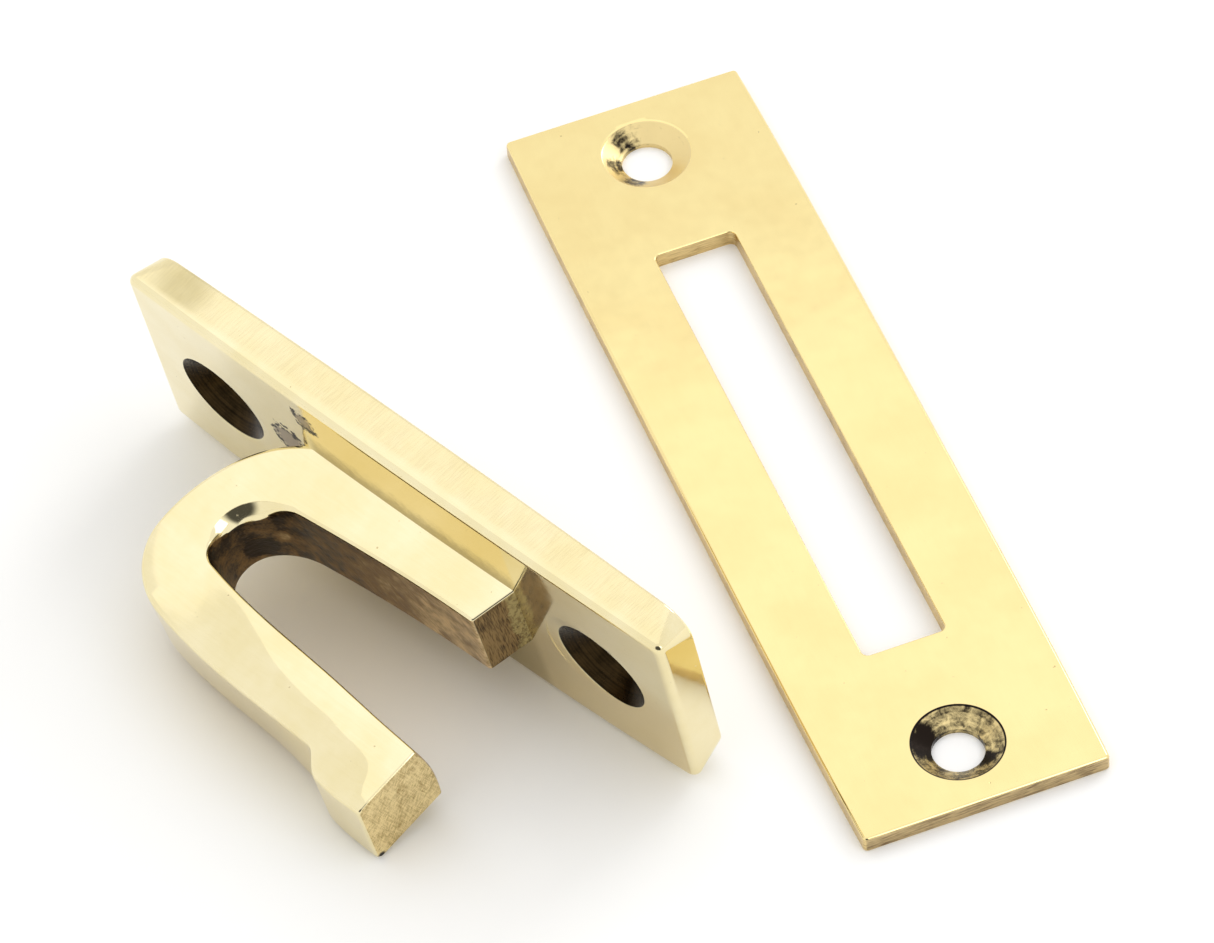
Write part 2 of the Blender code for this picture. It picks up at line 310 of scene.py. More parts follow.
def plate_face(x):
    along = 2 * x / PLATE_LENGTH
    return PLATE_END_THICKNESS + PLATE_CROWN * (1 - along * along)


def plate_half_width(x):
    along = 2 * x / PLATE_LENGTH
    return PLATE_WIDTH / 2 + PLATE_SIDE_BOW * (1 - along * along)


def plan_path(knots):
    """Points along a plan line through its knots, the same number between each pair on every line."""
    points = []
    for k, (last, here) in enumerate(zip(knots, knots[1:])):
        start = Vector((last[0], last[1], 0)) * MM
        end = Vector((here[0], here[1], 0)) * MM
        turn = math.radians(here[2] - last[2])
        handle = math.tan(turn / 4) / math.sin(turn / 2) * 2 / 3 if turn else 1 / 3
        reach = handle * (end - start).length
        leave = Matrix.Rotation(math.radians(last[2]), 3, "Z") @ Vector((reach, 0, 0))
        arrive = Matrix.Rotation(math.radians(here[2]), 3, "Z") @ Vector((reach, 0, 0))
        stretch = interpolate_bezier(start, start + leave, end - arrive, end, STATIONS[k] + 1)
        points += stretch if k == 0 else stretch[1:]
    return points


def at_place(keys, place):
    """Value at a place along the hook, on a smooth curve through the keys and level beyond them."""
    if place <= keys[0][0]:
        return keys[0][1]
    if place >= keys[-1][0]:
        return keys[-1][1]
    slopes = [0.0]
    for (start, low), (end, high) in zip(keys, keys[2:]):
        slopes.append((high - low) / (end - start))
    slopes.append(0.0)
    k = next(k for k in range(1, len(keys)) if place <= keys[k][0])
    (start, low), (end, high) = keys[k - 1:k + 1]
    share = (place - start) / (end - start)
    eased = low + (high - low) * share * share * (3 - 2 * share)
    leaving = slopes[k - 1] * share * (1 - share) ** 2
    arriving = slopes[k] * share * share * (1 - share)
    return eased + (leaving - arriving) * (end - start)


def hook_point(plan, side):
    """Point of the hook above (side 1) or below (side -1) a plan point, on the sloping bar."""
    y = side * HOOK_HEIGHT / 2 - math.tan(HOOK_DROOP) * (plan.y - PLATE_END_THICKNESS)
    return Vector((plan.x, y, plan.y))


def rounded_corner(corner, before, after, radius):
    """Arc that rounds a corner of a section, from the side it is reached by to the side it is left by."""
    first = (before - corner).normalized()
    second = (after - corner).normalized()
    half = first.angle(second) / 2
    centre = corner + (first + second).normalized() * radius / math.sin(half)
    start = (corner + first * radius / math.tan(half) - centre).normalized()
    end = (corner + second * radius / math.tan(half) - centre).normalized()
    steps = range(CORNER_STEPS + 1)
    return [centre + start.slerp(end, step / CORNER_STEPS) * radius for step in steps]


def worn_corner(corner, before, after, radius, wear):
    """A rounded corner that flattens as the wear goes from 0 to 1.

    Its turn shrinks from a full 90 degrees to the part between 30 and 54 degrees.
    """
    low, high = math.radians(90 - 36 * wear), math.radians(30 * wear)
    bend = radius / (math.sin(low) - math.sin(high))
    level = (after - corner).normalized()
    down = (before - corner).normalized()
    points = []
    for step in range(CORNER_STEPS + 1):
        turn = low + (high - low) * step / CORNER_STEPS
        aside = level * (math.sin(low) - math.sin(turn))
        points.append(corner + (aside + down * (math.cos(high) - math.cos(turn))) * bend)
    return points


def between(start, end, steps):
    return [start.lerp(end, step / steps) for step in range(1, steps)]


def hook_section(gap, outside, place, inset=0.0):
    """Section of the hook at a place: along its top, down its outside, back below and up the gap's wall."""
    out = (outside - gap).normalized()
    side = out * inset
    gap_lean = out * at_place(GAP_LEAN, place) * MM
    outside_lean = out * at_place(OUTSIDE_LEAN, place) * MM
    drop = Vector((0, at_place(BEND_DROP, place) * MM, 0))
    down = Vector((0, inset, 0))
    rim = out * at_place(GAP_RIM_SWELL, place) * MM
    corners = (
        hook_point(gap - rim + side, 1) - down,
        hook_point(outside - side, 1) - down,
        hook_point(outside - outside_lean - side, -1) + down,
        hook_point(gap - gap_lean + side, -1) + down - drop,
    )
    arcs = []
    for i, keys in enumerate((GAP_RIM, OUTSIDE_RIM, OUTSIDE_FOOT, GAP_FOOT)):
        radius = max(at_place(keys, place) * MM - inset, LEAST_ROUNDING)
        corner = corners[i], corners[i - 1], corners[(i + 1) % 4]
        wear = at_place(GAP_RIM_WEAR, place) if keys is GAP_RIM else 0.0
        arcs.append(worn_corner(*corner, radius, wear) if wear else rounded_corner(*corner, radius))
    level = (corners[1] - corners[0]).normalized()
    crease = arcs[0][-1].lerp(arcs[1][0], at_place(FACET_LINE, place))
    inner = crease - level * CREASE_HALF_WIDTH
    outer = crease + level * CREASE_HALF_WIDTH
    top = between(arcs[0][-1], inner, TOP_STEPS) + [inner, crease, outer]
    top += between(outer, arcs[1][0], TOP_STEPS)
    slope = math.tan(math.radians(at_place(FACET_SLOPE, place)))
    for point in top + arcs[1]:
        point.y -= slope * max(0, (point - crease).dot(level))
    outside_wall = between(arcs[1][-1], arcs[2][0], SIDE_STEPS)
    bottom = between(arcs[2][-1], arcs[3][0], SIDE_STEPS)
    gap_wall = between(arcs[3][-1], arcs[0][0], GAP_WALL_STEPS)
    for i, point in enumerate(gap_wall):
        swell = math.sin(math.pi * (i + 1) / GAP_WALL_STEPS) * at_place(GAP_SWELL, place) * MM
        point.x -= out.x * swell
        point.z -= out.y * swell
    return arcs[0] + top + arcs[1] + outside_wall + arcs[2] + bottom + arcs[3] + gap_wall


def hook_end(gap, outside, place):
    """Sections that round the edges of an end face, from the face inwards."""
    rings = []
    for step in range(END_STEPS + 1):
        turn = math.radians(90 * step / END_STEPS)
        back = Vector((END_ROUNDING * (math.cos(turn) - 1), 0, 0))
        inset = END_ROUNDING * (1 - math.sin(turn))
        rings.append(hook_section(gap + back, outside + back, place, inset))
    return rings


def make_hook_body():
    gaps = plan_path(GAP_LINE)
    outsides = plan_path(OUTSIDE_LINE)
    last = len(STATIONS)
    places = [k + step / count for k, count in enumerate(STATIONS) for step in range(count)]
    rings = hook_end(gaps[0], outsides[0], 0)
    rings += [hook_section(*where) for where in zip(gaps[1:], outsides[1:], places[1:])]
    rings += reversed(hook_end(gaps[-1], outsides[-1], last))
    return solid_from_rings("hook_body", rings, flat_cap)


def screw_hole_cutter(name, sink_radius, sink_depth, face_z, rim_rounding):
    """Countersunk hole with a rounded rim: the rim's arc, a cone, then the screw's own hole."""
    cone = math.atan2(sink_depth, sink_radius - SCREW_HOLE_RADIUS)
    arc = []
    for step in range(RIM_STEPS + 1):
        slope = RIM_FIRST_SLOPE + (cone - RIM_FIRST_SLOPE) * step / RIM_STEPS
        reach = sink_radius + rim_rounding * (math.tan(cone / 2) - math.sin(slope))
        arc.append((reach, face_z - rim_rounding * (1 - math.cos(slope))))
    throat = face_z - sink_depth
    mouth = arc[0][0] + CUT_MARGIN
    lip = arc[0][1] + CUT_MARGIN * math.tan(RIM_FIRST_SLOPE)
    top = face_z + 2 * CUT_MARGIN
    profile = [(0, top), (mouth, top), (mouth, lip), *arc]
    profile += [(SCREW_HOLE_RADIUS, throat), (SCREW_HOLE_RADIUS, -CUT_MARGIN), (0, -CUT_MARGIN)]
    mesh = bpy.data.meshes.new(name)
    edges = [(i, i + 1) for i in range(len(profile) - 1)]
    mesh.from_pydata([(x, 0, z) for x, z in profile], edges, [])
    cutter = mesh_object(name, mesh)
    turn = cutter.modifiers.new("Turn", "SCREW")
    turn.steps = TURNED_STEPS
    turn.render_steps = TURNED_STEPS
    turn.use_merge_vertices = True
    turn.merge_threshold = MERGE
    return cutter


def slot_cutter(thickness, rim_rounding):
    """Long slot with a rounded rim, as rings of a growing rounded rectangle."""
    levels = [(-CUT_MARGIN, 0.0), (thickness - rim_rounding, 0.0)]
    for step in range(1, SLOT_RIM_STEPS + 1):
        turn = math.radians(SLOT_RIM_TURN * step / SLOT_RIM_STEPS)
        drop = rim_rounding * (1 - math.sin(turn))
        levels.append((thickness - drop, rim_rounding * (1 - math.cos(turn))))
    levels.append((thickness + CUT_MARGIN * 0.1, rim_rounding + CUT_MARGIN))
    levels.append((thickness + CUT_MARGIN, rim_rounding + CUT_MARGIN))
    rings = []
    for z, grow in levels:
        ring = []
        radius = SLOT_CORNER_RADIUS + grow
        for quarter, (sx, sy) in enumerate(((1, 1), (-1, 1), (-1, -1), (1, -1))):
            for step in range(SLOT_CORNER_STEPS + 1):
                angle = math.radians(90 * (quarter + step / SLOT_CORNER_STEPS))
                x = sx * (SLOT_LENGTH / 2 - SLOT_CORNER_RADIUS) + radius * math.cos(angle)
                y = sy * (SLOT_WIDTH / 2 - SLOT_CORNER_RADIUS) + radius * math.sin(angle)
                ring.append(Vector((x, y, z)))
        rings.append(ring)
    return solid_from_rings("slot_cutter", rings, flat_cap)


def boolean(target, tool, operation):
    cut = target.modifiers.new(tool.name, "BOOLEAN")
    cut.operation = operation
    cut.solver = "EXACT"
    cut.object = tool


def finished(rough, tools, place):
    """The piece with all its cuts made, put in its place, and shaded smooth between its crisp edges."""
    bpy.context.view_layer.update()
    evaluated = rough.evaluated_get(bpy.context.evaluated_depsgraph_get())
    mesh = bpy.data.meshes.new_from_object(evaluated)
    rough.modifiers.clear()
    rough.data = mesh
    for tool in tools:
        bpy.data.objects.remove(tool, do_unlink=True)
    mesh.transform(place)
    mesh.shade_smooth()
    mesh.set_sharp_from_angle(angle=SHARP_ANGLE)
    even = rough.modifiers.new("Flat faces stay flat", "WEIGHTED_NORMAL")
    even.keep_sharp = True
    return rough


def hook_plate_place():
    """Where the hook plate stands, from the mount in the middle of its back."""
    mount = next(m for m in frame["record"]["mounts"] if m["name"] == "hook_back")
    out = -Vector(mount["axis"])
    along = Vector((-out.y, out.x, 0)).normalized()
    across = out.cross(along)
    turn = Matrix((along, across, out)).transposed().to_4x4()
    return Matrix.Translation(mount["pos_m"]) @ turn


def mortice_plate_place():
    low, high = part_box("mortice_plate")
    middle = (low + high) / 2
    return Matrix.Translation((middle.x, middle.y, low.z)) @ Matrix.Rotation(math.pi / 2, 4, "Z")


def make_hook_plate():
    corner_radii = PLATE_BACK_CORNER_RADIUS, PLATE_FACE_CORNER_RADIUS
    piece = rounded_slab(
        "hook_plate_brass", PLATE_LENGTH, plate_half_width, corner_radii, PLATE_SKEW,
        plate_face, PLATE_FACE_ROUNDING, PLATE_BACK_ROUNDING,
    )
    tools = [make_hook_body()]
    boolean(piece, tools[0], "UNION")
    for end in (-1, 1):
        place = end * PLATE_SCREW_SPACING / 2 + PLATE_SCREWS_SHIFT
        cutter = screw_hole_cutter(
            "plate_hole_cutter", PLATE_SINK_RADIUS, PLATE_SINK_DEPTH, plate_face(place), PLATE_RIM_ROUNDING
        )
        cutter.location.x = place
        boolean(piece, cutter, "DIFFERENCE")
        tools.append(cutter)
    return finished(piece, tools, hook_plate_place())


def make_mortice_plate():
    low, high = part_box("mortice_plate")
    thickness = high.z - low.z
    length = high.y - low.y

    def half_width(y):
        return (high.x - low.x) / 2 - MORTICE_SIDE_BOW * (2 * y / length) ** 4

    def face_height(y):
        return thickness

    piece = rounded_slab(
        "mortice_plate_brass", length, half_width, (MORTICE_CORNER_RADIUS, MORTICE_CORNER_RADIUS), 0.0,
        face_height, MORTICE_FACE_ROUNDING, MORTICE_BACK_ROUNDING,
    )
    tools = [slot_cutter(thickness, SLOT_RIM_ROUNDING)]
    boolean(piece, tools[0], "DIFFERENCE")
    for end, rim in ((-1, MORTICE_NEAR_RIM_ROUNDING), (1, MORTICE_FAR_RIM_ROUNDING)):
        cutter = screw_hole_cutter(
            "mortice_hole_cutter", MORTICE_SINK_RADIUS, MORTICE_SINK_DEPTH, thickness, rim
        )
        cutter.location.x = end * MORTICE_SCREW_SPACING / 2
        boolean(piece, cutter, "DIFFERENCE")
        tools.append(cutter)
    return finished(piece, tools, mortice_plate_place())


class Surface:
    """A look: its colour, its roughness and its height in millimetres, each a value or a node's output."""

    def __init__(self, colour, roughness, height):
        self.colour = colour
        self.roughness = roughness
        self.height = height


class Finish:
    """A metal finish under construction. Its nodes work in millimetres, in the piece's own frame."""

    def __init__(self, name, place):
        self.material = bpy.data.materials.new(name)
        self.material.use_nodes = True
        self.tree = self.material.node_tree
        self.shader = self.tree.nodes["Principled BSDF"]
        self.shader.inputs["Metallic"].default_value = 1.0
        self.turn = place.to_3x3()
        guide = bpy.data.objects.new(name + "_frame", None)
        guide.matrix_world = place @ Matrix.Scale(MM, 4)
        bpy.context.scene.collection.objects.link(guide)
        self.point = self.add("TexCoord", output="Object", object=guide)
        self.normal = self.add("NewGeometry", output="Normal")
        xyz = self.tree.nodes.new("ShaderNodeSeparateXYZ")
        self.tree.links.new(self.point, xyz.inputs[0])
        self.x, self.y, self.z = xyz.outputs

    def add(self, kind, *values, output=0, **settings):
        """Adds a node, sets its options, feeds its inputs in order, and returns one of its outputs."""
        node = self.tree.nodes.new("ShaderNode" + kind)
        for option, value in settings.items():
            setattr(node, option, value)
        for socket, value in zip(node.inputs, values):
            if isinstance(value, bpy.types.NodeSocket):
                self.tree.links.new(value, socket)
            elif value is not None:
                socket.default_value = value
        return node.outputs[output]

    def math(self, operation, first, second=None, third=None):
        return self.add("Math", first, second, third, operation=operation)

    def step(self, value, low, high):
        """Rises smoothly from 0 to 1 as the value goes from low to high, which may be the smaller."""
        if low > high:
            return self.add("MapRange", value, high, low, 1.0, 0.0, interpolation_type="SMOOTHSTEP")
        return self.add("MapRange", value, low, high, 0.0, 1.0, interpolation_type="SMOOTHSTEP")

    def all_of(self, *masks):
        result = masks[0]
        for mask in masks[1:]:
            result = self.math("MULTIPLY", result, mask)
        return result

    def facing(self, axis):
        """How squarely the surface faces along one of the piece's own axes: 0 is X, 1 is Y and 2 is Z."""
        return self.add(
            "VectorMath", self.normal, tuple(self.turn.col[axis]), output="Value", operation="DOT_PRODUCT"
        )

    def noise(
        self, size, detail=2.0, stretch=(1, 1, 1), offset=(0, 0, 0), turn=None, roughness=0.5, warp=0.0
    ):
        """Noise from 0 to 1, its features about this many millimetres across, times the stretch.

        The turn, in degrees about each axis, leans the direction of the stretch.
        """
        point = self.point
        if turn:
            angles = tuple(math.radians(angle) for angle in turn)
            point = self.add("VectorRotate", point, None, None, None, angles, rotation_type="EULER_XYZ")
        scale = tuple(1 / (size * part) for part in stretch)
        vector = self.add("VectorMath", point, scale, offset, operation="MULTIPLY_ADD")
        return self.add("TexNoise", vector, None, 1.0, detail, roughness, None, None, None, warp)

    def distance(self, spot):
        return self.add("VectorMath", self.point, spot, output="Value", operation="DISTANCE")

    def near(self, spot, radius, softness):
        """1 within a radius of a spot, easing to 0 over the softness."""
        return self.step(self.distance(spot), radius + softness, radius)

    def band(self, value, start, end, softness):
        """1 where a value lies between start and end, easing to 0 over the softness outside them."""
        return self.all_of(self.step(value, start - softness, start), self.step(value, end + softness, end))

    def blend(self, share, first, second):
        node = self.tree.nodes.new("ShaderNodeMix")
        colour = isinstance(first, tuple) or getattr(first, "type", "") == "RGBA"
        node.data_type = "RGBA" if colour else "FLOAT"
        sockets = [socket for socket in node.inputs if socket.enabled]
        for socket, value in zip(sockets, (share, first, second)):
            if isinstance(value, bpy.types.NodeSocket):
                self.tree.links.new(value, socket)
            else:
                socket.default_value = (*value, 1.0) if isinstance(value, tuple) else value
        return next(socket for socket in node.outputs if socket.enabled)

    def over(self, mask, under, top):
        """One surface laid over another where the mask is 1."""
        return Surface(
            self.blend(mask, under.colour, top.colour),
            self.blend(mask, under.roughness, top.roughness),
            self.blend(mask, under.height, top.height),
        )

    def done(self, surface):
        bump = self.tree.nodes.new("ShaderNodeBump")
        bump.inputs["Strength"].default_value = 1.0
        bump.inputs["Distance"].default_value = MM
        self.tree.links.new(surface.height, bump.inputs["Height"])
        self.tree.links.new(bump.outputs["Normal"], self.shader.inputs["Normal"])
        self.tree.links.new(surface.colour, self.shader.inputs["Base Color"])
        self.tree.links.new(surface.roughness, self.shader.inputs["Roughness"])
        return self.material


def polished(finish, brass, grain):
    """Hand-polished brass: faint clouds, slight waves, hairlines along the grain, and a few tiny pits."""
    clouds = finish.step(finish.noise(7.0, 3.0, roughness=0.55), 0.3, 0.7)
    mottle = finish.noise(1.3, 3.0)
    hairlines = finish.noise(0.2, 2.0, stretch=grain)
    pits = finish.step(finish.noise(0.45, 1.0, offset=(2, 8, 5)), 0.79, 0.83)
    tone = finish.math("MULTIPLY_ADD", clouds, 0.7, finish.math("MULTIPLY", mottle, 0.4))
    tone = finish.math("MULTIPLY_ADD", finish.math("SUBTRACT", hairlines, 0.5), 0.35, tone)
    colour = finish.blend(tone, *brass)
    colour = finish.blend(finish.math("MULTIPLY", pits, 0.6), colour, SCRATCH)
    roughness = finish.math("MULTIPLY_ADD", mottle, 0.12, 0.03)
    waves = finish.math("MULTIPLY", finish.noise(6.0, 2.0, offset=(3, 5, 7)), 0.03)
    height = finish.math("MULTIPLY_ADD", hairlines, 0.0006, waves)
    height = finish.math("MULTIPLY_ADD", pits, -0.01, height)
    return Surface(colour, roughness, height)


def as_cast(finish, brass, share):
    """A wall the polishing wheel hasn't reached: blotches from near black to brass, scratched crosswise."""
    dark, middle, light = brass
    blotches = finish.noise(1.5, 4.0, roughness=0.6)
    marks = finish.noise(0.16, 2.0, stretch=(1, 10, 1), turn=(0, 0, -35), warp=0.3)
    tone = finish.math("MULTIPLY_ADD", finish.math("SUBTRACT", blotches, 0.5), 1.3, share)
    tone = finish.math("MULTIPLY_ADD", finish.math("SUBTRACT", marks, 0.5), 0.5, tone)
    colour = finish.blend(finish.step(tone, -0.1, 0.45), dark, middle)
    colour = finish.blend(finish.step(tone, 0.35, 1.0), colour, light)
    roughness = finish.math("MULTIPLY_ADD", blotches, 0.3, 0.25)
    height = finish.math("MULTIPLY_ADD", blotches, 0.10, finish.math("MULTIPLY", marks, 0.008))
    return Surface(colour, roughness, height)


def ground(finish, brass, stretch, *turns):
    """Left from the grinding wheel: fine scratches, one lot for each way the wheel was turned."""
    total = 0.0
    for turn in turns:
        marks = finish.noise(0.10, 2.0, stretch=stretch, turn=turn, offset=turn, warp=0.3)
        total = finish.math("ADD", marks, total)
    tone = finish.math("MULTIPLY", total, 1 / len(turns))
    tone = finish.math("MULTIPLY_ADD", finish.math("SUBTRACT", finish.noise(2.2, 3.0), 0.5), 0.35, tone)
    colour = finish.blend(finish.step(tone, 0.32, 0.62), *brass)
    height = finish.math("MULTIPLY", tone, 0.008)
    return Surface(colour, finish.math("MULTIPLY_ADD", tone, 0.25, 0.18), height)


def turned(finish, brass, rings, tarnish, low, high):
    """A drilled or countersunk wall, with rings from the cutter. It is darker where tarnish is lower."""
    tone = finish.math("MULTIPLY_ADD", rings, 0.5, finish.math("MULTIPLY", tarnish, 0.8))
    colour = finish.blend(finish.step(tone, low, high), *brass)
    height = finish.math("MULTIPLY_ADD", rings, 0.006, finish.math("MULTIPLY", tarnish, 0.02))
    return Surface(colour, finish.math("MULTIPLY_ADD", tarnish, 0.25, 0.15), height)


def stain_or_painted_light(finish, surface, mask, colour, roughness, strength=1.0):
    """The surface with a thin stain, or a patch of painted light or shade, laid on it, which dulls it."""
    if strength != 1.0:
        mask = finish.math("MULTIPLY", mask, strength)
    return Surface(
        finish.blend(mask, surface.colour, colour),
        finish.blend(mask, surface.roughness, roughness),
        surface.height,
    )


def depth_rings(finish, pitch):
    """Marks that go round a hole and change only down it."""
    down = finish.add("CombineXYZ", 0.0, 0.0, finish.math("DIVIDE", finish.z, pitch))
    return finish.add("TexNoise", down, None, 1.0, 3.0)


def hole_radius(finish, spacing, shift):
    """Distance from the axis of the nearer of two holes, which lie on X."""
    off_middle = finish.math("ABSOLUTE", finish.math("SUBTRACT", finish.x, shift / MM))
    along = finish.math("SUBTRACT", off_middle, spacing / MM / 2)
    flat = finish.add("CombineXYZ", along, finish.y, 0.0)
    return finish.add("VectorMath", flat, output="Value", operation="LENGTH")


def milled_back(finish, surface, out):
    milled = ground(finish, MILLED_BRASS, (12, 1, 1), (0, 0, 0), (0, 0, 6))
    return finish.over(finish.step(out, -0.75, -0.95), surface, milled)


def filed_sides(finish, surface):
    """The plate's narrow sides, filed across, with an old stain at one end."""
    filed = ground(finish, FILED_BRASS, (1, 1, 16), (0, 0, 0), (0, 8, 0))
    from_middle = finish.math("ABSOLUTE", finish.y)
    on_side = finish.all_of(finish.step(from_middle, 10.6, 11.2), finish.step(finish.z, 3.4, 2.6))
    surface = finish.over(finish.math("MULTIPLY", on_side, 0.3), surface, filed)
    stain = finish.all_of(on_side, finish.near(*SIDE_STAIN, 3.0))
    return stain_or_painted_light(finish, surface, stain, OLIVE, 0.3, 0.35)


def face_painted_light(finish, surface, on_face, ragged):
    """On the face, painted light and shade: a gold band beside the hook, a painted reflection of the leg's
    top; a dull olive band, painted shade with some soot; and dull gold painted shade low at the tip's end.
    """
    # Painted reflection: the gold band is the leg's top as mirrored in the face.
    painted_reflection_stripe = finish.all_of(
        on_face, finish.step(finish.y, 2.0, 3.0), finish.band(finish.x, -8.5, 13.5, 0.6)
    )
    surface = stain_or_painted_light(finish, surface, painted_reflection_stripe, GOLD, 0.12, 0.6)
    ragged_y = finish.math("ADD", finish.y, ragged)
    # Painted shade with some soot: the olive band stands in for the hook's shaded side mirrored in the
    # face.
    painted_shade_by_hook = finish.all_of(
        on_face, finish.step(ragged_y, 7.0, 4.2), finish.band(finish.x, -8.5, 13, 1.5)
    )
    surface = stain_or_painted_light(finish, surface, painted_shade_by_hook, OLIVE, 0.3, 0.75)
    # Painted shade: darker gold low on the face at the tip's end, for the shaded floor it mirrors.
    painted_shade_low_right = finish.all_of(on_face, finish.step(finish.x, 6, 16), finish.step(finish.y, 3, -2))
    return stain_or_painted_light(finish, surface, painted_shade_low_right, PAINTED_SHADE_GOLD, 0.15, 0.6)


def face_residue(finish, surface, on_face, ragged):
    """Old residue in the corners that the face makes with the hook's bend, each patch with a broken rim."""
    for spot, size in FACE_RESIDUE:
        spread = finish.math("ADD", finish.distance(spot), ragged)
        patch = finish.all_of(on_face, finish.step(spread, size + 0.3, size - 0.3))
        surface = stain_or_painted_light(finish, surface, patch, RESIDUE, 0.4, 0.75)
        broken = finish.step(finish.noise(0.5, 3.0, offset=(4, 1, 9)), 0.42, 0.5)
        rim = finish.all_of(on_face, finish.band(spread, size - 0.1, size + 0.3, 0.25), broken)
        surface = stain_or_painted_light(finish, surface, rim, SOOT, 0.4)
    return surface


def gap_walls(finish, surface, up, along):
    """Between the legs, where the wheel doesn't reach: as-cast blotches, with painted shade darkening the
    wall deep in the bend. The wall is lighter towards the root's end.
    """
    faces_root_end = finish.all_of(along, finish.step(finish.x, 11.0, 11.5))
    in_gap = finish.all_of(
        finish.step(finish.z, 7.6, 7.9),
        finish.step(finish.z, 19.4, 19.1),
        finish.step(finish.x, -12.6, -12.2),
        finish.step(finish.math("ABSOLUTE", up), 0.42, 0.3),
        finish.step(faces_root_end, 0.9, 0.8),
    )
    # Painted shade: the wall darkens away from the root's end, towards the bend.
    lightness = finish.math("MULTIPLY_ADD", finish.step(finish.x, -9.0, 12.0), 0.6, 0.12)
    for spot, change in ((GAP_DARK_SPOT, -0.9), (GAP_CLEAR_SPOT, 0.5)):
        lightness = finish.math("MULTIPLY_ADD", finish.near(*spot, 0.9), change, lightness)
    return finish.over(in_gap, surface, as_cast(finish, CAST_AND_SHADED_BRASS, lightness))


def end_faces(finish, surface, along, ragged):
    """The root's end is brown, partly painted shade for the shaded floor it mirrors, with a smoother olive
    stub beside it, and the tip's end is golden.
    """
    faces_end = finish.step(along, 0.8, 0.92)
    root_end = finish.all_of(
        faces_end,
        finish.step(finish.z, 9.0, 8.6),
        finish.band(finish.x, 11.5, 13.5, 0.5),
        finish.step(finish.z, 4.0, 4.1),
    )
    # The root's end is dark brown, partly painted shade for the shaded floor it mirrors, over grinding
    # marks.
    root = ground(finish, ROOT_BRASS, (1, 14, 1), (4, 0, 0), (-5, 0, 0))
    surface = finish.over(root_end, surface, root)
    stub = finish.all_of(root_end, finish.step(finish.math("ADD", finish.z, ragged), 5.3, 5.0))
    surface = finish.over(stub, surface, ground(finish, STUB_BRASS, (1, 4, 4), (0, 0, 0)))
    tip_end = finish.all_of(faces_end, finish.step(finish.z, 17.0, 17.5), finish.step(finish.x, 14.0, 14.5))
    tip = ground(finish, TIP_BRASS, (1, 12, 1), (35, 0, 0), (-20, 0, 0), (70, 0, 0))
    surface = finish.over(tip_end, surface, tip)
    for spot, size in TIP_SOOT:
        surface = stain_or_painted_light(finish, surface, finish.near(spot, size, 0.3), SOOT, 0.3)
    return surface


def plate_bores(finish, surface, out):
    from_axis = hole_radius(finish, PLATE_SCREW_SPACING, PLATE_SCREWS_SHIFT)
    bored = finish.all_of(
        finish.step(from_axis, 4.66, 4.56),
        finish.step(out, 0.93, 0.85),
        finish.band(finish.z, 0.3, 3.9, 0.1),
    )
    tarnish = finish.math("MULTIPLY_ADD", finish.noise(1.4, 4.0, roughness=0.6), 0.4, 0.3)
    # Painted shade: the bore's brass is near black, for the shade down the hole, with tarnish varying its
    # tone.
    bore = turned(finish, BORE_PAINTED_SHADE, depth_rings(finish, 0.22), tarnish, 0.5, 0.85)
    return finish.over(bored, surface, bore)


def hook_plate_finish():
    finish = Finish("hook_plate_polish", hook_plate_place())
    up, out, along = finish.facing(1), finish.facing(2), finish.facing(0)
    on_face = finish.all_of(finish.step(out, 0.9, 0.97), finish.step(finish.z, 4.7, 4.5))
    uneven = finish.math("SUBTRACT", finish.noise(0.9, 4.0, roughness=0.65), 0.5)
    ragged = finish.math("MULTIPLY", uneven, 2.4)
    surface = polished(finish, HOOK_BRASS, (14, 1, 1))
    surface = filed_sides(finish, surface)
    surface = milled_back(finish, surface, out)
    surface = face_painted_light(finish, surface, on_face, ragged)
    surface = face_residue(finish, surface, on_face, ragged)
    surface = gap_walls(finish, surface, up, along)
    surface = end_faces(finish, surface, along, ragged)
    return finish.done(plate_bores(finish, surface, out))


def mortice_walls(finish, surface, up, along):
    """Sawn walls, browner at the plate's two ends."""
    wall = ground(finish, WALL_BRASS, (12, 12, 1), (0, 0, 0), (0, 4, 0))
    surface = finish.over(finish.step(finish.math("ABSOLUTE", up), 0.45, 0.25), surface, wall)
    at_end = finish.all_of(
        finish.step(finish.math("ABSOLUTE", along), 0.8, 0.95),
        finish.step(finish.math("ABSOLUTE", finish.x), 40.6, 40.9),
    )
    end_wall = ground(finish, END_WALL_BRASS, (1, 14, 1), (0, 0, 0), (3, 0, 0))
    return finish.over(at_end, surface, end_wall)


def mortice_sinks(finish, surface, up):
    """Countersunk holes, sooty in blotches. The near one is duller and has a dark line round its rim."""
    from_axis = hole_radius(finish, MORTICE_SCREW_SPACING, 0.0)
    bored = finish.all_of(finish.step(from_axis, 3.95, 3.85), finish.step(up, 0.95, 0.88))
    ragged = finish.noise(0.8, 5.0, roughness=0.68, warp=0.5)
    tarnish = finish.math("MULTIPLY_ADD", finish.step(finish.x, -10, 10), 0.3, ragged)
    for spot, size in FAR_SINK_SOOT + NEAR_SINK_SOOT:
        tarnish = finish.math("MULTIPLY_ADD", finish.near(spot, size * 0.3, size), -0.42, tarnish)
    sink = turned(finish, SINK_BRASS, depth_rings(finish, 0.25), tarnish, 0.48, 0.82)
    surface = finish.over(bored, surface, sink)
    rim_line = finish.all_of(finish.band(from_axis, 3.80, 3.90, 0.05), finish.step(finish.x, 0, -1))
    return stain_or_painted_light(finish, surface, rim_line, SOOT, 0.3)


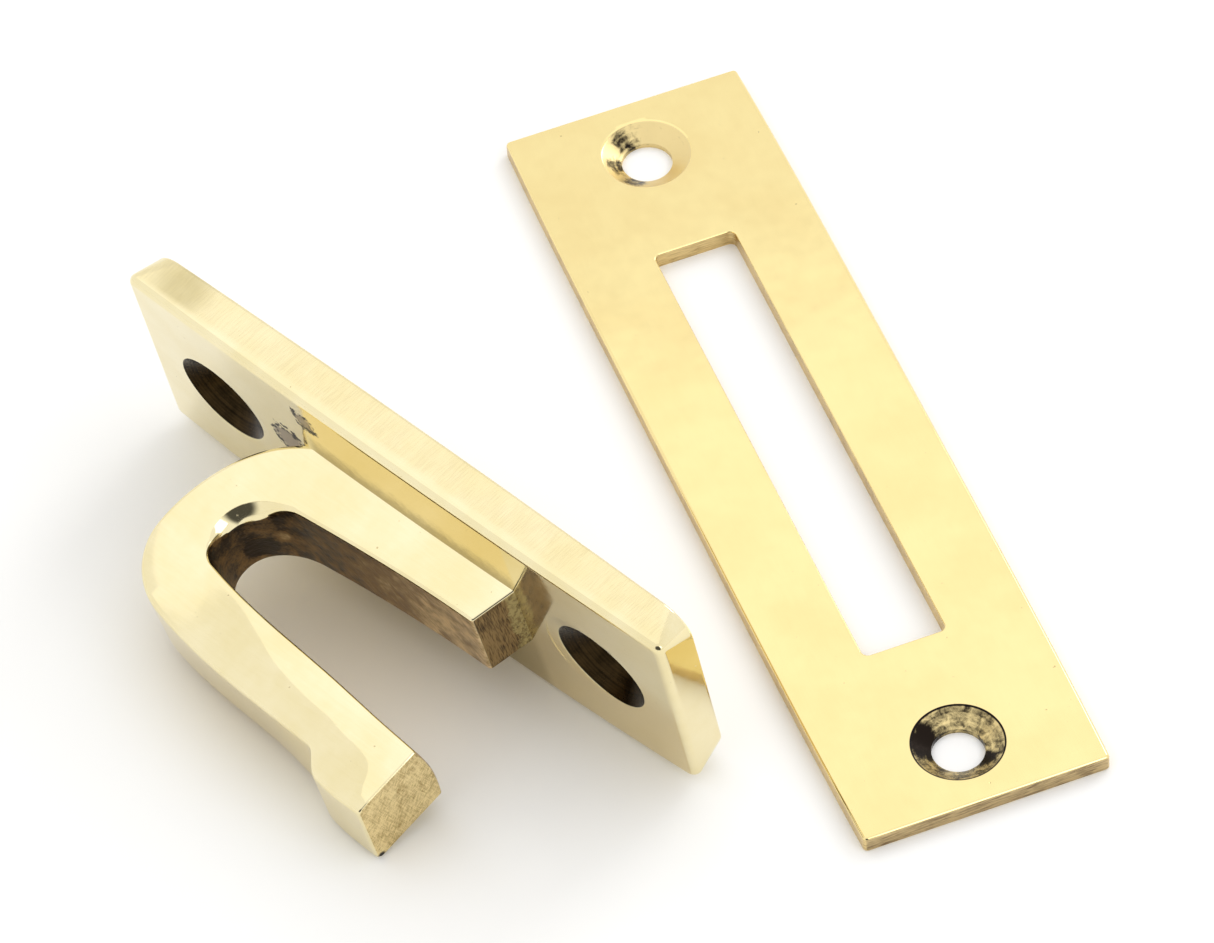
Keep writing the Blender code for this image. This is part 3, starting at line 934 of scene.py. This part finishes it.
def mortice_plate_finish():
    finish = Finish("mortice_plate_polish", mortice_plate_place())
    up, along = finish.facing(2), finish.facing(0)
    surface = polished(finish, MORTICE_BRASS, (12, 1, 1))
    surface = milled_back(finish, surface, up)
    surface = mortice_walls(finish, surface, up, along)
    return finish.done(mortice_sinks(finish, surface, up))


def make_floor():
    """White paper, with painted bounce light: a warm tint between the hook's legs stands in for what the
    brass throws back at it.
    """
    mesh = bpy.data.meshes.new("floor")
    work = bmesh.new()
    bmesh.ops.create_grid(work, x_segments=1, y_segments=1, size=FLOOR_HALF_SIZE)
    work.to_mesh(mesh)
    work.free()
    floor = mesh_object("floor", mesh)
    material = bpy.data.materials.new("floor_white")
    material.use_nodes = True
    nodes = material.node_tree.nodes
    links = material.node_tree.links
    away = nodes.new("ShaderNodeVectorMath")
    away.operation = "DISTANCE"
    away.inputs[1].default_value = PAINTED_BOUNCE_CENTRE
    links.new(nodes.new("ShaderNodeTexCoord").outputs["Object"], away.inputs[0])
    # Painted bounce light: warm at the centre, easing out to white.
    painted_bounce_tint = nodes.new("ShaderNodeValToRGB")
    for stop, colour in zip(painted_bounce_tint.color_ramp.elements, (FLOOR_PAINTED_BOUNCE, FLOOR_WHITE)):
        stop.color = (*colour, 1.0)
    painted_bounce_tint.color_ramp.interpolation = "EASE"
    reach = nodes.new("ShaderNodeMath")
    reach.operation = "DIVIDE"
    reach.inputs[1].default_value = PAINTED_BOUNCE_RADIUS
    links.new(away.outputs["Value"], reach.inputs[0])
    links.new(reach.outputs[0], painted_bounce_tint.inputs[0])
    shader = nodes["Principled BSDF"]
    links.new(painted_bounce_tint.outputs[0], shader.inputs["Base Color"])
    shader.inputs["Roughness"].default_value = FLOOR_ROUGHNESS
    shader.inputs["Specular IOR Level"].default_value = 0.0
    mesh.materials.append(material)


def softbox(name, direction, width, height, radiance):
    """Rectangular softbox that faces the object, of a given brightness as a reflection shows it."""
    lamp = bpy.data.lights.new(name, "AREA")
    lamp.shape = "RECTANGLE"
    lamp.size = width
    lamp.size_y = height
    lamp.energy = radiance * math.pi * width * height
    light = bpy.data.objects.new(name, lamp)
    direction = Vector(direction).normalized()
    light.location = direction * SOFTBOX_DISTANCE
    light.rotation_euler = direction.to_track_quat("Z", "Y").to_euler()
    bpy.context.scene.collection.objects.link(light)


def make_world():
    """A white studio all round, but for the unlit room low behind the camera."""
    world = bpy.data.worlds.new("studio")
    world.use_nodes = True
    nodes = world.node_tree.nodes
    links = world.node_tree.links
    towards_room = nodes.new("ShaderNodeVectorMath")
    towards_room.operation = "DOT_PRODUCT"
    towards_room.inputs[1].default_value = Vector(ROOM_DIRECTION).normalized()
    links.new(nodes.new("ShaderNodeTexCoord").outputs["Generated"], towards_room.inputs[0])
    room = nodes.new("ShaderNodeMapRange")
    room.interpolation_type = "SMOOTHSTEP"
    limits = (*ROOM_EDGE, STUDIO_LIGHT, STUDIO_LIGHT * ROOM_LIGHT)
    for socket, value in zip(("From Min", "From Max", "To Min", "To Max"), limits):
        room.inputs[socket].default_value = value
    links.new(towards_room.outputs["Value"], room.inputs["Value"])
    links.new(room.outputs["Result"], nodes["Background"].inputs["Strength"])
    nodes["Background"].inputs["Color"].default_value = (1.0, 1.0, 1.0, 1.0)
    bpy.context.scene.world = world


def make_lights():
    make_world()
    for name, settings in SOFTBOXES.items():
        softbox(name, *settings)


def make_camera():
    data = bpy.data.cameras.new("camera")
    data.sensor_width = SENSOR_WIDTH
    data.lens = SENSOR_WIDTH * FOCAL_PIXELS / IMAGE_WIDTH
    camera = bpy.data.objects.new("camera", data)
    bpy.context.scene.collection.objects.link(camera)
    heading = Matrix.Rotation(-CAMERA_AZIMUTH, 4, "Z")
    pitch = Matrix.Rotation(math.pi / 2 - CAMERA_ELEVATION, 4, "X")
    roll = Matrix.Rotation(-CAMERA_ROLL, 4, "Z")
    turn = heading @ pitch @ roll
    back = turn @ Vector((0, 0, CAMERA_DISTANCE))
    camera.matrix_world = Matrix.Translation(CAMERA_TARGET + back) @ turn
    data.clip_start = CLIP_START
    data.clip_end = CLIP_END
    bpy.context.scene.camera = camera


def show(piece, material, node):
    """Gives a finished piece its material and puts it in the place of its CAD node."""
    piece.data.materials.clear()
    piece.data.materials.append(material)
    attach(piece, "root")
    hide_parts(node)


def main():
    bpy.context.scene.view_settings.view_transform = "Standard"
    make_camera()
    make_floor()
    make_lights()
    show(make_hook_plate(), hook_plate_finish(), "hook_plate")
    show(make_mortice_plate(), mortice_plate_finish(), "mortice_plate")


main()
